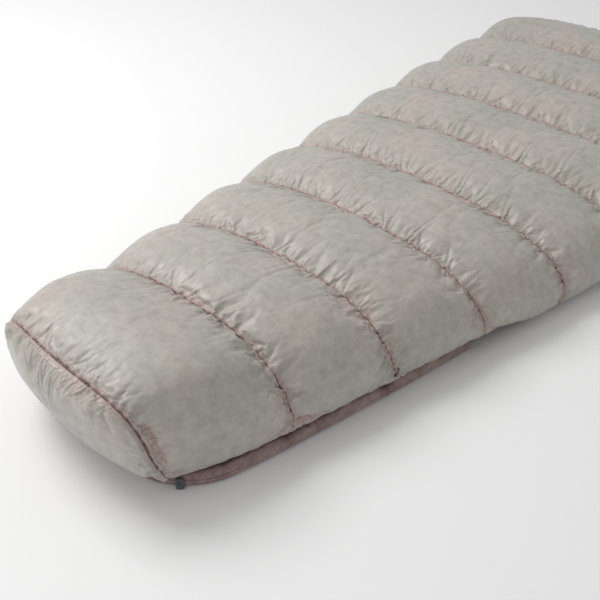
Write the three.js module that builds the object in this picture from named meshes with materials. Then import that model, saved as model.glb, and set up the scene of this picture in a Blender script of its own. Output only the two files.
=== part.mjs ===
// Camp quilt: an arched, down-filled quilt of nine cross chambers with a closed foot box.
// Millimetres, +Z up, +Y from the foot to the head, +X to the right-hand edge.
// The quilt stands on its foot-box base and on the tucked side flaps; its underside is open.
import * as THREE from 'three';
import { mergeVertices } from 'three/addons/utils/BufferGeometryUtils.js';

// Lengths along the quilt, measured from the toe seam towards the head.
const chamberCount = 9;
const toeChamberLength = 236;
const chamberPitch = 195;
const footBoxChambers = 3;
const foldSeams = [4, 6, 8];

// The arch across the quilt, measured over the sewn seams.
const toeHalfWidth = 178;
const footHalfWidth = 192;
const headHalfWidth = 434;
const widthEase = 1.5;
const toeHeight = 188;
const footHeight = 190;
const headHeight = 105;
const heightEase = 1.2;
const toeSideSquareness = 4.6;
const toeTopSquareness = 4.2;
const sideSquareness = 2.45;
const topSquareness = 2.05;
const toeLean = 38;
const toeBow = 13;
const toeSkew = 0.093;
const toeCurl = 40;
const toeCurlHeight = 120;

// Side hems: level over the base in the foot box, tucked under on the floor beyond it.
const footWaistHeight = 50;
const footHemHeight = 36;
const footTuckAngle = 0.25;
const bodyWaistHeight = 46;
const bodyTuckAngle = 0.8;

// Layers: fabric skins over down, thin at each seam and crowned between seams.
const fabric = 0.8;
const layerGap = 0.3;
const seamHalfThickness = 5;
const hemHalfThickness = 2;
const outerLoft = 26;
const innerLoft = 4;
const sideLoftShare = 0.4;
const floorLoftShare = 0.12;
const loftShape = 0.8;
const hemTaper = 0.14;

// How far the surface faces up, from -1 to 1, where the loft starts to grow and where it is full.
const floorFacing = -0.8;
const wallFacing = -0.1;
const shoulderFacing = 0.6;
const topFacing = 1;

// Gap between neighbouring pieces along the quilt, and the mesh strips inside it.
const partGap = 0.5;
const baffleThickness = 0.5;

// End panel and base of the foot box.
const endBulge = 42;
const endRimThickness = 9;
const endLoft = 30;
const endFootGap = 1.2;
const baseEdgeThickness = 22;
const baseLoft = 4;
const baseCornerRadius = 90;
const baseFrontRecess = 2;
const baseSideRecess = 5;
const baseEdgeTaper = 0.3;

// Trim.
const bindingWidth = 10;
const bindingHalfThickness = 1.6;
const neckBindingWidth = 12;
const neckBindingHalfThickness = 3;
const tabWidth = 12;
const tabLength = 16;
const tabThickness = 2.4;
const tabCornerRadius = 3;
const tabTop = 21;
const tabGap = 1.5;
const snapRadius = 6;
const snapHeight = 2.6;
const snapSocketShare = 0.8;
const snapRimShare = 0.5;
const snapTopShare = 0.55;
const snapSide = 0.8;
const eyeletRadius = 5;
const eyeletHoleRadius = 2.6;
const eyeletHeight = 1.2;
const eyeletSide = 0.62;

// Mesh divisions.
const archSteps = 14;
const loftRows = [0, 0.12, 0.35, 0.65, 0.88, 1];
const endSteps = 10;
const baseSteps = 10;
const baseFrontShare = 0.2;
const tangentStep = 0.004;
const outlinePasses = 40;
const latheSides = 16;

const quiltLength = toeChamberLength + (chamberCount - 1) * chamberPitch;
const archDrop = seamHalfThickness + layerGap + fabric;
const bodyHemHeight = hemHalfThickness + layerGap + fabric;
const endFootHeight = baseEdgeThickness + baseLoft + endFootGap;

const lerp = THREE.MathUtils.lerp;
const smoothstep = THREE.MathUtils.smoothstep;

function seamAt(index) {
  return index === 0 ? 0 : toeChamberLength + (index - 1) * chamberPitch;
}

// Size and form of the arch's middle surface at a distance along the quilt.
function archAt(along) {
  const left = 1 - Math.min(along / quiltLength, 1);
  const inToe = Math.max(1 - along / toeChamberLength, 0);
  const body = smoothstep(along, seamAt(footBoxChambers), seamAt(footBoxChambers + 1));
  const tucked = smoothstep(along, seamAt(footBoxChambers), seamAt(footBoxChambers + 2));
  const width = headHalfWidth - (headHalfWidth - footHalfWidth) * left ** widthEase;
  const height = headHeight + (footHeight - headHeight) * left ** heightEase;
  return {
    halfWidth: width - (footHalfWidth - toeHalfWidth) * inToe ** 2 - archDrop,
    height: height - (footHeight - toeHeight) * inToe ** 2 - archDrop,
    side: lerp(sideSquareness, toeSideSquareness, inToe),
    top: lerp(topSquareness, toeTopSquareness, inToe),
    waist: lerp(footWaistHeight, bodyWaistHeight, body),
    hem: lerp(footHemHeight, bodyHemHeight, body),
    tuck: lerp(footTuckAngle, bodyTuckAngle, tucked),
  };
}

// Point of the middle surface: across runs from -1 at the left hem over the crown to 1 at the right hem.
function archPoint(across, along) {
  const arch = archAt(along);
  const angle = Math.PI / 2 - across * (Math.PI / 2 + arch.tuck);
  const cos = Math.cos(angle);
  const sin = Math.sin(angle);
  const x = arch.halfWidth * Math.sign(cos) * Math.abs(cos) ** (2 / arch.side);
  const rise = (arch.height - arch.waist) * Math.max(sin, 0) ** (2 / arch.top);
  const fall = (arch.waist - arch.hem) * Math.sin((Math.PI / 2) * Math.max(-sin, 0) / Math.sin(arch.tuck));
  return new THREE.Vector2(x, arch.waist + rise - fall);
}

// Unit direction along the arch, from the left hem towards the right hem.
function archTangent(across, along) {
  const before = archPoint(Math.max(across - tangentStep, -1), along);
  const after = archPoint(Math.min(across + tangentStep, 1), along);
  return after.sub(before).normalize();
}

// The toe seam leans and its foot curls back towards the head; it bows, so its corners lie nearer the
// head too. The quilt lies a little askew, with the right-hand side of its toe pulled forward.
function toeSetBack(x, z) {
  const curl = toeCurl * Math.max(1 - z / toeCurlHeight, 0) ** 2;
  return toeLean * (1 - z / toeHeight) + toeBow * (x / toeHalfWidth) ** 2 - toeSkew * x + curl;
}

// The share of the toe's set-back at a distance along the quilt, gone by the first cross seam.
function toeShare(along) {
  return Math.min(Math.max(1 - along / toeChamberLength, 0), 1) ** 2;
}

// Point at a distance outside the middle surface.
function layerPoint(across, along, outward) {
  const middle = archPoint(across, along);
  const tangent = archTangent(across, along);
  const x = middle.x - tangent.y * outward;
  const z = middle.y + tangent.x * outward;
  return new THREE.Vector3(x, along + toeSetBack(x, z) * toeShare(along), z);
}

// How far the down stands out of the middle surface on each side, thin at seams and hems.
function loftAt(across, chamberShare, along) {
  const crown = Math.sin(Math.PI * THREE.MathUtils.clamp(chamberShare, 0, 1)) ** loftShape;
  const facing = archTangent(across, along).x;
  const below = lerp(floorLoftShare, sideLoftShare, smoothstep(facing, floorFacing, wallFacing));
  const free = lerp(below, 1, smoothstep(facing, shoulderFacing, topFacing));
  const edge = Math.max(Math.abs(across) - (1 - hemTaper), 0) / hemTaper;
  const full = Math.sqrt(1 - Math.min(edge, 1) ** 2);
  return {
    outer: lerp(hemHalfThickness, seamHalfThickness + outerLoft * free * crown, full),
    inner: lerp(hemHalfThickness, seamHalfThickness + innerLoft * crown, full),
  };
}

function finished(geometry) {
  geometry.deleteAttribute('normal');
  geometry.deleteAttribute('uv');
  return mergeVertices(geometry, 1e-4);
}

// A closed slab between two sheets of the same grid. Both sheets split every cell along the same
// diagonal, so that layers laid over one another never cross. In a centred slab the diagonals point
// to the middle of the grid, so each corner of it is joined to the inside.
function slab(columns, rows, place, centred = false) {
  const points = [];
  const faces = [];
  for (const upper of [true, false]) {
    for (let row = 0; row <= rows; row++) {
      for (let column = 0; column <= columns; column++) {
        const point = place((2 * column) / columns - 1, row, upper);
        points.push(point.x, point.y, point.z);
      }
    }
  }
  const lower = (columns + 1) * (rows + 1);
  const at = (column, row) => row * (columns + 1) + column;
  for (let row = 0; row < rows; row++) {
    for (let column = 0; column < columns; column++) {
      const a = at(column, row);
      const b = at(column + 1, row);
      const c = at(column + 1, row + 1);
      const d = at(column, row + 1);
      const rising = !centred || (2 * column < columns) === (2 * row < rows);
      const halves = rising ? [[a, b, c], [a, c, d]] : [[a, b, d], [b, c, d]];
      for (const [first, second, third] of halves) {
        faces.push(first, second, third);
        faces.push(lower + first, lower + third, lower + second);
      }
    }
  }
  const wall = (a, b) => faces.push(a, lower + a, lower + b, a, lower + b, b);
  for (let column = 0; column < columns; column++) {
    wall(at(column, 0), at(column + 1, 0));
    wall(at(column + 1, rows), at(column, rows));
  }
  for (let row = 0; row < rows; row++) {
    wall(at(columns, row), at(columns, row + 1));
    wall(at(0, row + 1), at(0, row));
  }
  const geometry = new THREE.BufferGeometry();
  geometry.setAttribute('position', new THREE.Float32BufferAttribute(points, 3));
  geometry.setIndex(faces);
  return geometry;
}

function material(color, roughness, metalness = 0) {
  return new THREE.MeshStandardMaterial({ color, roughness, metalness, side: THREE.FrontSide });
}

const materials = {
  shell: material(0xb5b2ab, 0.55),
  lining: material(0xa08f8a, 0.6),
  down: material(0xe8e4da, 0.95),
  baffle: material(0xd9d6cf, 0.9),
  binding: material(0x8d7773, 0.7),
  tape: material(0x565a60, 0.85),
  snap: material(0x3c3d40, 0.4, 0.3),
};

const quilt = new THREE.Group();

function add(name, geometry, surface) {
  const mesh = new THREE.Mesh(geometry, surface);
  mesh.name = name;
  quilt.add(mesh);
  return mesh;
}

// Rows of a run of chambers: the distance along the quilt and the share of the chamber at each row.
function rowsOf(first, last) {
  const rows = [];
  for (let chamber = first; chamber <= last; chamber++) {
    const start = seamAt(chamber - 1);
    const end = seamAt(chamber);
    for (const share of loftRows.slice(chamber === first ? 0 : 1)) {
      rows.push({ along: lerp(start, end, share), share });
    }
  }
  rows[0].along += partGap;
  rows[rows.length - 1].along -= partGap;
  return rows;
}

// A skin over a run of chambers: outer shell above the down, or lining below it.
function skin(first, last, outside) {
  const rows = rowsOf(first, last);
  return slab(archSteps, rows.length - 1, (across, row, upper) => {
    const { along, share } = rows[row];
    const loft = loftAt(across, share, along);
    const lift = upper ? layerGap + fabric : layerGap;
    const drop = upper ? layerGap : layerGap + fabric;
    return layerPoint(across, along, outside ? loft.outer + lift : -loft.inner - drop);
  });
}

function downFill(chamber) {
  const rows = rowsOf(chamber, chamber);
  return slab(archSteps, rows.length - 1, (across, row, upper) => {
    const { along, share } = rows[row];
    const loft = loftAt(across, share, along);
    return layerPoint(across, along, upper ? loft.outer : -loft.inner);
  });
}

// A mesh strip that ties shell to lining at a cross seam, standing in the gap between two fills.
// It keeps to the skins' own columns and stops one column short of each hem.
function baffleWall(seam) {
  const reach = seamHalfThickness - layerGap;
  const columns = archSteps - 2;
  const inset = columns / archSteps;
  return slab(columns, 1, (across, row, upper) => {
    const along = seamAt(seam) + (row - 0.5) * baffleThickness;
    return layerPoint(across * inset, along, upper ? reach : -reach);
  });
}

// Flat binding folded over one side hem, along a run of chambers.
function sideBinding(first, last, side) {
  const rows = rowsOf(first, last);
  return slab(1, rows.length - 1, (column, row, upper) => {
    const { along } = rows[row];
    const out = column > 0 ? 1 : -1;
    const reach = side * out > 0 ? layerGap + bindingWidth : layerGap;
    const edge = layerPoint(side, along, upper ? bindingHalfThickness : -bindingHalfThickness);
    const tangent = archTangent(side, along);
    edge.x += side * tangent.x * reach;
    edge.z += side * tangent.y * reach;
    return edge;
  });
}

function neckBinding() {
  return slab(archSteps, 1, (across, row, upper) => {
    const side = upper ? neckBindingHalfThickness : -neckBindingHalfThickness;
    const point = layerPoint(across, quiltLength, side);
    point.y += partGap + row * neckBindingWidth;
    return point;
  });
}

// Outline of the end panel around its middle: the arch of the toe seam closed by a straight foot.
function endOutline(turn) {
  const arch = archAt(0);
  const centre = new THREE.Vector2(0, (arch.height + endFootHeight) / 2);
  const direction = new THREE.Vector2(Math.sin(turn), Math.cos(turn));
  const outer = (across) => {
    const point = layerPoint(across, 0, archDrop);
    return new THREE.Vector2(point.x, point.z).sub(centre);
  };
  let low = 0;
  let high = 1;
  for (let pass = 0; pass < outlinePasses; pass++) {
    const middle = (low + high) / 2;
    const point = outer(middle);
    const turned = Math.atan2(point.x, point.y);
    if (turned < Math.abs(Math.atan2(direction.x, direction.y))) {
      low = middle;
    } else {
      high = middle;
    }
  }
  const archReach = outer(low).length();
  const floorReach = direction.y < 0 ? (endFootHeight - centre.y) / direction.y : Infinity;
  return { centre, offset: direction.multiplyScalar(Math.min(archReach, floorReach)) };
}

// One layer of the domed end panel, between two depths counted from its outer face. The square grid
// of the slab is drawn in to a disc, which is carried out to the panel's outline.
function endLayer(outerDepth, innerDepth) {
  return slab(endSteps, endSteps, (across, row, outer) => {
    const up = (2 * row) / endSteps - 1;
    const side = across * Math.sqrt(1 - up ** 2 / 2);
    const rise = up * Math.sqrt(1 - across ** 2 / 2);
    const ring = Math.min(Math.hypot(side, rise), 1);
    const { centre, offset } = endOutline(Math.atan2(side, rise));
    const dome = Math.sqrt(1 - ring ** 2);
    const depth = outer ? outerDepth(dome) : innerDepth(dome);
    const x = centre.x + offset.x * ring;
    const z = centre.y + offset.y * ring;
    const seamPlane = toeSetBack(x, z) - partGap;
    return new THREE.Vector3(x, seamPlane - endRimThickness - endBulge * dome + depth, z);
  }, true);
}

function endPanelDepth(dome) {
  return endRimThickness + endLoft * dome;
}

// Where the base starts, just behind the foot of the leaning end panel.
function baseFront() {
  return toeSetBack(0, footHemHeight) - baseFrontRecess;
}

// Half-width of the base at a distance along the quilt, rounded at the toe corners.
function baseHalfWidth(along, front) {
  const side = archAt(along).halfWidth + archDrop - baseSideRecess;
  const fromFront = Math.min(along - front, baseCornerRadius);
  const round = Math.sqrt(baseCornerRadius ** 2 - (baseCornerRadius - fromFront) ** 2);
  return side - baseCornerRadius + round;
}

// One layer of the foot-box base, between two heights; its down is thin at the edge and at each seam.
function baseLayer(lowAt, highAt) {
  const front = baseFront();
  const back = seamAt(footBoxChambers) - partGap;
  const stations = [
    { along: front, share: 0 },
    { along: front + baseCornerRadius / 4, share: baseFrontShare },
  ];
  for (const { along, share } of rowsOf(1, footBoxChambers)) {
    if (along > front + baseCornerRadius / 2 && along < back) {
      stations.push({ along, share });
    }
  }
  stations.push({ along: back, share: 1 });
  return slab(baseSteps, stations.length - 1, (across, row, upper) => {
    const { along, share } = stations[row];
    const edge = Math.max(Math.abs(across) - (1 - baseEdgeTaper), 0) / baseEdgeTaper;
    const loft = Math.sin(Math.PI * share) ** loftShape * Math.sqrt(1 - Math.min(edge, 1) ** 2);
    const x = across * baseHalfWidth(along, front);
    return new THREE.Vector3(x, along - toeSkew * x * toeShare(along), upper ? highAt(loft) : lowAt(loft));
  });
}

// A folded tape tab, drawn flat with its sewn end at the origin.
function cornerTab() {
  const outline = new THREE.Shape();
  const half = tabWidth / 2;
  outline.moveTo(0, -half);
  outline.lineTo(tabLength - tabCornerRadius, -half);
  outline.absarc(tabLength - tabCornerRadius, -half + tabCornerRadius, tabCornerRadius, -Math.PI / 2, 0);
  outline.absarc(tabLength - tabCornerRadius, half - tabCornerRadius, tabCornerRadius, 0, Math.PI / 2);
  outline.lineTo(0, half);
  outline.closePath();
  const settings = { depth: tabThickness, bevelEnabled: false, curveSegments: 4 };
  return finished(new THREE.ExtrudeGeometry(outline, settings));
}

// Hangs a tab from its sewn end in front of the base's rounded toe corner, facing outwards.
function placeTab(mesh, side) {
  const front = baseFront();
  const cornerAlong = front + baseCornerRadius * (1 - Math.SQRT1_2);
  const cornerX = side * baseHalfWidth(cornerAlong, front);
  const cornerY = cornerAlong - toeSkew * cornerX * toeShare(cornerAlong);
  const outward = new THREE.Vector3(side * Math.SQRT1_2, -Math.SQRT1_2, 0);
  const down = new THREE.Vector3(0, 0, -1);
  const sideways = new THREE.Vector3().crossVectors(outward, down);
  mesh.quaternion.setFromRotationMatrix(new THREE.Matrix4().makeBasis(down, sideways, outward));
  mesh.position.set(cornerX, cornerY, tabTop).addScaledVector(outward, tabGap);
}

function snapHalf(height) {
  const profile = [
    new THREE.Vector2(0, 0),
    new THREE.Vector2(snapRadius, 0),
    new THREE.Vector2(snapRadius, height * snapRimShare),
    new THREE.Vector2(snapRadius * snapTopShare, height),
    new THREE.Vector2(0, height),
  ];
  return finished(new THREE.LatheGeometry(profile, latheSides));
}

function eyelet() {
  const profile = [
    new THREE.Vector2(eyeletHoleRadius, 0),
    new THREE.Vector2(eyeletRadius, 0),
    new THREE.Vector2(eyeletRadius, eyeletHeight),
    new THREE.Vector2(eyeletHoleRadius, eyeletHeight),
    new THREE.Vector2(eyeletHoleRadius, 0),
  ];
  return finished(new THREE.LatheGeometry(profile, latheSides));
}

// Stands a lathe-turned piece on the outside of the neck binding, with its axis along the arch's normal.
function placeOnNeck(mesh, across) {
  const tangent = archTangent(across, quiltLength);
  const normal = new THREE.Vector3(-tangent.y, 0, tangent.x);
  const lift = neckBindingHalfThickness + layerGap * 2;
  mesh.position.copy(layerPoint(across, quiltLength, lift));
  mesh.position.y += partGap + neckBindingWidth / 2;
  mesh.quaternion.setFromUnitVectors(new THREE.Vector3(0, 1, 0), normal);
}

const sections = ['foot', 'hip', 'chest', 'head'];
const sectionEnds = [...foldSeams, chamberCount];
sections.forEach((section, index) => {
  const first = index === 0 ? 1 : foldSeams[index - 1] + 1;
  const last = sectionEnds[index];
  add(`outer_shell_${section}`, skin(first, last, true), materials.shell);
  add(`inner_lining_${section}`, skin(first, last, false), materials.lining);
  add(`edge_binding_left_${section}`, sideBinding(first, last, -1), materials.binding);
  add(`edge_binding_right_${section}`, sideBinding(first, last, 1), materials.binding);
});

for (let chamber = 1; chamber <= chamberCount; chamber++) {
  add(`down_fill_${chamber}`, downFill(chamber), materials.down);
}
for (let seam = 1; seam < chamberCount; seam++) {
  add(`baffle_wall_${seam}`, baffleWall(seam), materials.baffle);
}

const skinDepth = fabric + layerGap;
add('end_panel_shell', endLayer(() => 0, () => fabric), materials.shell);
add('end_panel_fill', endLayer(() => skinDepth, (dome) => endPanelDepth(dome) - skinDepth), materials.down);
add('end_panel_lining', endLayer((dome) => endPanelDepth(dome) - fabric, endPanelDepth), materials.lining);

const baseTop = (loft) => baseEdgeThickness + baseLoft * loft;
add('base_shell', baseLayer(() => 0, () => fabric), materials.lining);
add('base_fill', baseLayer(() => skinDepth, (loft) => baseTop(loft) - skinDepth), materials.down);
add('base_lining', baseLayer((loft) => baseTop(loft) - fabric, baseTop), materials.lining);

add('neck_binding', neckBinding(), materials.binding);
for (const [name, side] of [['left', -1], ['right', 1]]) {
  placeTab(add(`corner_tab_${name}`, cornerTab(), materials.tape), side);
  placeOnNeck(add(`neck_eyelet_${name}`, eyelet(), materials.snap), side * eyeletSide);
}
placeOnNeck(add('neck_snap_stud', snapHalf(snapHeight), materials.snap), -snapSide);
placeOnNeck(add('neck_snap_socket', snapHalf(snapHeight * snapSocketShare), materials.snap), snapSide);

// The origin is under the middle of the whole quilt.
const extent = new THREE.Box3().setFromObject(quilt, true);
quilt.position.y = -(extent.min.y + extent.max.y) / 2;

export default quilt;
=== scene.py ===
import math

import bpy
import numpy as np
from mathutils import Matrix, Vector


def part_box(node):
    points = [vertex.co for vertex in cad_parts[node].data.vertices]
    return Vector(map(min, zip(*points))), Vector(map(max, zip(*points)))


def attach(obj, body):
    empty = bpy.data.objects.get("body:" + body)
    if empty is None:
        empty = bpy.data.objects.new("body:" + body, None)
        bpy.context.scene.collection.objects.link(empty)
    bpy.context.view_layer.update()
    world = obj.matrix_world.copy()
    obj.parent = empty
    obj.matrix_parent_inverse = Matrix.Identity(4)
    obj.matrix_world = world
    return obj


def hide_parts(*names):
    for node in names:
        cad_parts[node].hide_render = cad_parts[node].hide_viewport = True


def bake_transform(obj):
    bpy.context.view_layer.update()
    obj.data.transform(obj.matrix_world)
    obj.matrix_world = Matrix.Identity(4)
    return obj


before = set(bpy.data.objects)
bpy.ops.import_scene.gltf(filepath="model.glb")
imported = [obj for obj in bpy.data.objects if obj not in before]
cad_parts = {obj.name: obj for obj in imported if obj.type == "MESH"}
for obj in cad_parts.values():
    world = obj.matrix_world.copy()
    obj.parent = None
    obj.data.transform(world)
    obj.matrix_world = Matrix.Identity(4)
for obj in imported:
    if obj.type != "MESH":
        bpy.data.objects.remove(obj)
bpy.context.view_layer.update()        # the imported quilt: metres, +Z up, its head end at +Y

# the quilt's own form; `along` is counted from the toe seam towards the head
form = {
    "chambers": 9,
    "footBoxChambers": 3,      # chambers over the base
    "toeLength": 0.236,
    "toeHalfWidth": 0.178,
    "footHalfWidth": 0.192,
    "headHalfWidth": 0.434,
    "widthEase": 1.5,
    "toeHeight": 0.188,
    "footHeight": 0.190,
    "headHeight": 0.105,
    "heightEase": 1.2,
    "toeSide": 4.6,            # squareness of the sides and of the top
    "toeTop": 4.2,
    "bodySide": 2.45,
    "bodyTop": 2.05,
    "toeLean": 0.038,
    "toeBow": 0.013,
    "toeSkew": 0.093,          # pulls the right-hand side of the toe forward
    "toeCurl": 0.040,          # draws the toe's foot back
    "toeCurlHeight": 0.120,
    "footWaist": 0.050,
    "footHem": 0.036,
    "footTuck": 0.25,
    "bodyWaist": 0.046,
    "bodyHem": 0.0031,
    "bodyTuck": 0.8,
    "skinOut": 0.0061,         # from the middle surface to the outside of a seam
}


def seamPlaces():
    # every mesh strip stands in its seam, so its box gives the seam's place along the quilt
    between = [sum(c.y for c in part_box(f"baffle_wall_{k}")) / 2 for k in range(1, form["chambers"])]
    return np.array([between[0] - form["toeLength"], *between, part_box("neck_binding")[0].y])


seamY = seamPlaces()
toeY = seamY[0]
seams = seamY - toeY
quiltLength = seams[-1]
toeLength = seams[1]


def ease(x, low, high):
    # 0 below low, 1 above high, 3t^2 - 2t^3 between them
    t = np.clip((x - low) / (high - low), 0, 1)
    return t * t * (3 - 2 * t)


def mix(a, b, t):
    return a + (b - a) * t


def archAt(along):
    # width and height shrink from the foot to the head as powers of what is left of the length;
    # the toe narrows by a square law inside the first chamber
    f = form
    left = 1 - np.minimum(along / quiltLength, 1)
    inToe = np.maximum(1 - along / toeLength, 0)
    body = ease(along, seams[f["footBoxChambers"]], seams[f["footBoxChambers"] + 1])
    tucked = ease(along, seams[f["footBoxChambers"]], seams[f["footBoxChambers"] + 2])
    width = f["headHalfWidth"] - (f["headHalfWidth"] - f["footHalfWidth"]) * left ** f["widthEase"]
    height = f["headHeight"] + (f["footHeight"] - f["headHeight"]) * left ** f["heightEase"]
    return {
        "halfWidth": width - (f["footHalfWidth"] - f["toeHalfWidth"]) * inToe ** 2 - f["skinOut"],
        "height": height - (f["footHeight"] - f["toeHeight"]) * inToe ** 2 - f["skinOut"],
        "side": mix(f["bodySide"], f["toeSide"], inToe),
        "top": mix(f["bodyTop"], f["toeTop"], inToe),
        "waist": mix(f["footWaist"], f["bodyWaist"], body),
        "hem": mix(f["footHem"], f["bodyHem"], body),
        "tuck": mix(f["footTuck"], f["bodyTuck"], tucked),
    }


def archPoint(across, along):
    # a superellipse over the top and a quarter sine wave down to each tucked hem;
    # across is -1 at the left hem, 0 on the crown, 1 at the right hem
    a = archAt(along)
    angle = np.pi / 2 - across * (np.pi / 2 + a["tuck"])
    cos, sin = np.cos(angle), np.sin(angle)
    x = a["halfWidth"] * np.sign(cos) * np.abs(cos) ** (2 / a["side"])
    rise = (a["height"] - a["waist"]) * np.maximum(sin, 0) ** (2 / a["top"])
    fall = (a["waist"] - a["hem"]) * np.sin(np.pi / 2 * np.maximum(-sin, 0) / np.sin(a["tuck"]))
    return x, a["waist"] + rise - fall


def archTangent(across, along, step=0.006):
    xa, za = archPoint(np.maximum(across - step, -1), along)
    xb, zb = archPoint(np.minimum(across + step, 1), along)
    size = np.hypot(xb - xa, zb - za)
    return (xb - xa) / size, (zb - za) / size


def toeSetBack(x, z):
    # the toe seam leans and its foot curls back, by a square law; it bows at its sides and lies askew
    f = form
    curl = f["toeCurl"] * np.maximum(1 - z / f["toeCurlHeight"], 0) ** 2
    bow = f["toeBow"] * (x / f["toeHalfWidth"]) ** 2
    return f["toeLean"] * (1 - z / f["toeHeight"]) + bow - f["toeSkew"] * x + curl


def toeShare(along):
    # what is left of the toe's set-back, falling as a square to nought at the first cross seam
    return np.clip(1 - along / toeLength, 0, 1) ** 2


def layerPoint(across, along, outward):
    # middle surface plus outward times its normal
    x, z = archPoint(across, along)
    tx, tz = archTangent(across, along)
    x, z = x - tz * outward, z + tx * outward
    return np.stack([x, toeY + along + toeSetBack(x, z) * toeShare(along), z], -1)


def evenAcross(columns, along):
    # `columns` values of across at equal distances over the arch, and those distances from the crown;
    # the samples crowd by a cube law at the crown and the waist, where the superellipse runs fastest
    waist = (np.pi / 2) / (np.pi / 2 + float(archAt(np.array(along))["tuck"]))
    close = np.linspace(0, 1, 1500) ** 3
    half = np.concatenate([close * waist / 2, waist - close[::-1] * waist / 2, waist + close * (1 - waist)])
    fine = np.unique(np.concatenate([-half, half]))
    x, z = archPoint(fine, np.full_like(fine, along))
    run = np.concatenate([[0], np.cumsum(np.hypot(np.diff(x), np.diff(z)))])
    run -= np.interp(0, fine, run)
    place = np.linspace(run[0], run[-1], columns)
    return np.interp(place, run, fine), place


def patches(u, v, seed):
    # random numbers from -1 to 1 on a unit lattice, joined by eased bilinear steps
    table = np.random.default_rng(seed).uniform(-1, 1, (512, 512))
    iu, iv = np.floor(u).astype(int), np.floor(v).astype(int)
    fu, fv = u - iu, v - iv
    fu, fv = fu * fu * (3 - 2 * fu), fv * fv * (3 - 2 * fv)
    a = table[iu % 512, iv % 512]
    b = table[(iu + 1) % 512, iv % 512]
    c = table[iu % 512, (iv + 1) % 512]
    d = table[(iu + 1) % 512, (iv + 1) % 512]
    return mix(mix(a, b, fu), mix(c, d, fu), fv)


def drift(place, size, seed):
    # a smooth random run from -1 to 1 along a seam
    return patches(place / size, np.zeros_like(place), seed)


gather = {
    "pleat": 0.0098,           # distance between the small pleats of a gathered seam
    "pleatHeight": 0.0030,
    "pleatReach": 0.0085,      # how fast they fade away from the seam
    "fold": 0.019,             # distance between the long soft folds
    "foldHeight": 0.0042,
    "foldReach": 0.018,
    "crease": 0.034,           # distance between the sharp creases
    "creaseDepth": 0.0066,
    "creaseWidth": 0.0026,
    "creaseReach": 0.019,
    "zigzag": 0.0020,          # the seam line's own wander
    "wander": 0.75,            # how uneven the spacing is
}


def lobes(phase):
    # round ridges with sharp creases between: the absolute sine to a power, shifted to a mean of nought
    return np.abs(np.sin(np.pi * phase)) ** 0.8 - 0.66


def pleatPhase(place, seed):
    # which pleat a place along the seam is in
    near = drift(place, 0.03, seed) * gather["wander"]
    return place / gather["pleat"] + near + drift(place, 0.09, seed + 1)


def pleats(place, away, seed):
    # small pleats, alike on both sides of their seam, fading exponentially with the distance `away`
    g = gather
    strength = 0.70 + 0.55 * drift(place, 0.016, seed + 3)
    reach = g["pleatReach"] * (1 + 0.5 * drift(place, 0.02, seed + 4))
    slant = drift(place, 0.06, seed + 2) * 35
    ridges = lobes(pleatPhase(place, seed) + slant * away)
    return g["pleatHeight"] * ridges * strength * np.exp(-away / reach)


def folds(place, away, seed):
    # longer soft folds that start a little way from the seam, each with a reach of its own
    g = gather
    slant = drift(place, 0.06, seed + 2) * 25
    strength = np.clip(0.5 + 0.8 * drift(place, 0.034, seed + 5), 0.05, None)
    reach = g["foldReach"] * (1 + 0.55 * drift(place, 0.03, seed + 6))
    rise = 1 - np.exp(-away / 0.004)
    phase = place / g["fold"] + drift(place, 0.05, seed + 8) + slant * away
    return g["foldHeight"] * lobes(phase) * strength * np.exp(-away / reach) * rise


def creases(place, away, seed):
    # single sharp creases: bell-shaped valleys, one in each cell along the seam, slanting as they fade
    g = gather
    luck = np.random.default_rng(seed).uniform(0, 1, (1024, 4))
    total = np.zeros(np.broadcast(place, away).shape)
    cell = np.floor(place / g["crease"]).astype(int)
    for near in (-1, 0, 1):
        where, slant, depth, reach = np.moveaxis(luck[(cell + near) % 1024], -1, 0)
        middle = (cell + near + 0.15 + 0.7 * where) * g["crease"] + (slant - 0.5) * 1.6 * away
        fade = np.exp(-(away / (g["creaseReach"] * (0.5 + 1.2 * reach))) ** 1.5)
        total -= g["creaseDepth"] * depth ** 1.7 * fade * np.exp(-((place - middle) / g["creaseWidth"]) ** 2)
    return total


def zigzag(place, seed):
    # how far the seam line wanders to either side, one way at each pleat
    steps = np.sin(np.pi * pleatPhase(place, seed))
    return gather["zigzag"] * (0.5 * steps + 0.9 * drift(place, 0.018, seed + 7))


def gridQuads(rows, columns, first=0):
    r, c = np.meshgrid(np.arange(rows - 1), np.arange(columns - 1), indexing="ij")
    a = first + r * columns + c
    return np.stack([a, a + 1, a + 1 + columns, a + columns], -1).reshape(-1, 4)


def slabQuads(rows, columns):
    # two sheets of the same grid, the second turned over, and the four walls that join them
    top = gridQuads(rows, columns)
    lower = rows * columns
    bottom = gridQuads(rows, columns, lower)[:, ::-1]
    c, r = np.arange(columns - 1), np.arange(rows - 1)
    last = (rows - 1) * columns
    front = np.stack([c + 1, c, c + lower, c + 1 + lower], -1)
    back = np.stack([last + c, last + c + 1, last + c + 1 + lower, last + c + lower], -1)
    left = np.stack([r * columns, (r + 1) * columns, (r + 1) * columns + lower, r * columns + lower], -1)
    edge = r * columns + columns - 1
    right = np.stack([edge + columns, edge, edge + lower, edge + columns + lower], -1)
    return top, bottom, np.concatenate([front, back, left, right])


def tubeQuads(rows, sides, closed=False):
    # rings of points joined to the next ring, and either the last to the first or a flat cap at each end
    r, c = np.meshgrid(np.arange(rows if closed else rows - 1), np.arange(sides), indexing="ij")
    a, b = r * sides + c, r * sides + (c + 1) % sides
    far = (r + 1) % rows * sides
    quads = np.stack([a, b, far + (c + 1) % sides, far + c], -1).reshape(-1, 4)
    if closed:
        return quads
    half = np.arange(sides // 2 - 1)
    cap = np.stack([half, half + 1, sides - 2 - half, sides - 1 - half], -1)
    return np.concatenate([quads, cap[:, ::-1], cap + (rows - 1) * sides])


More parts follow.
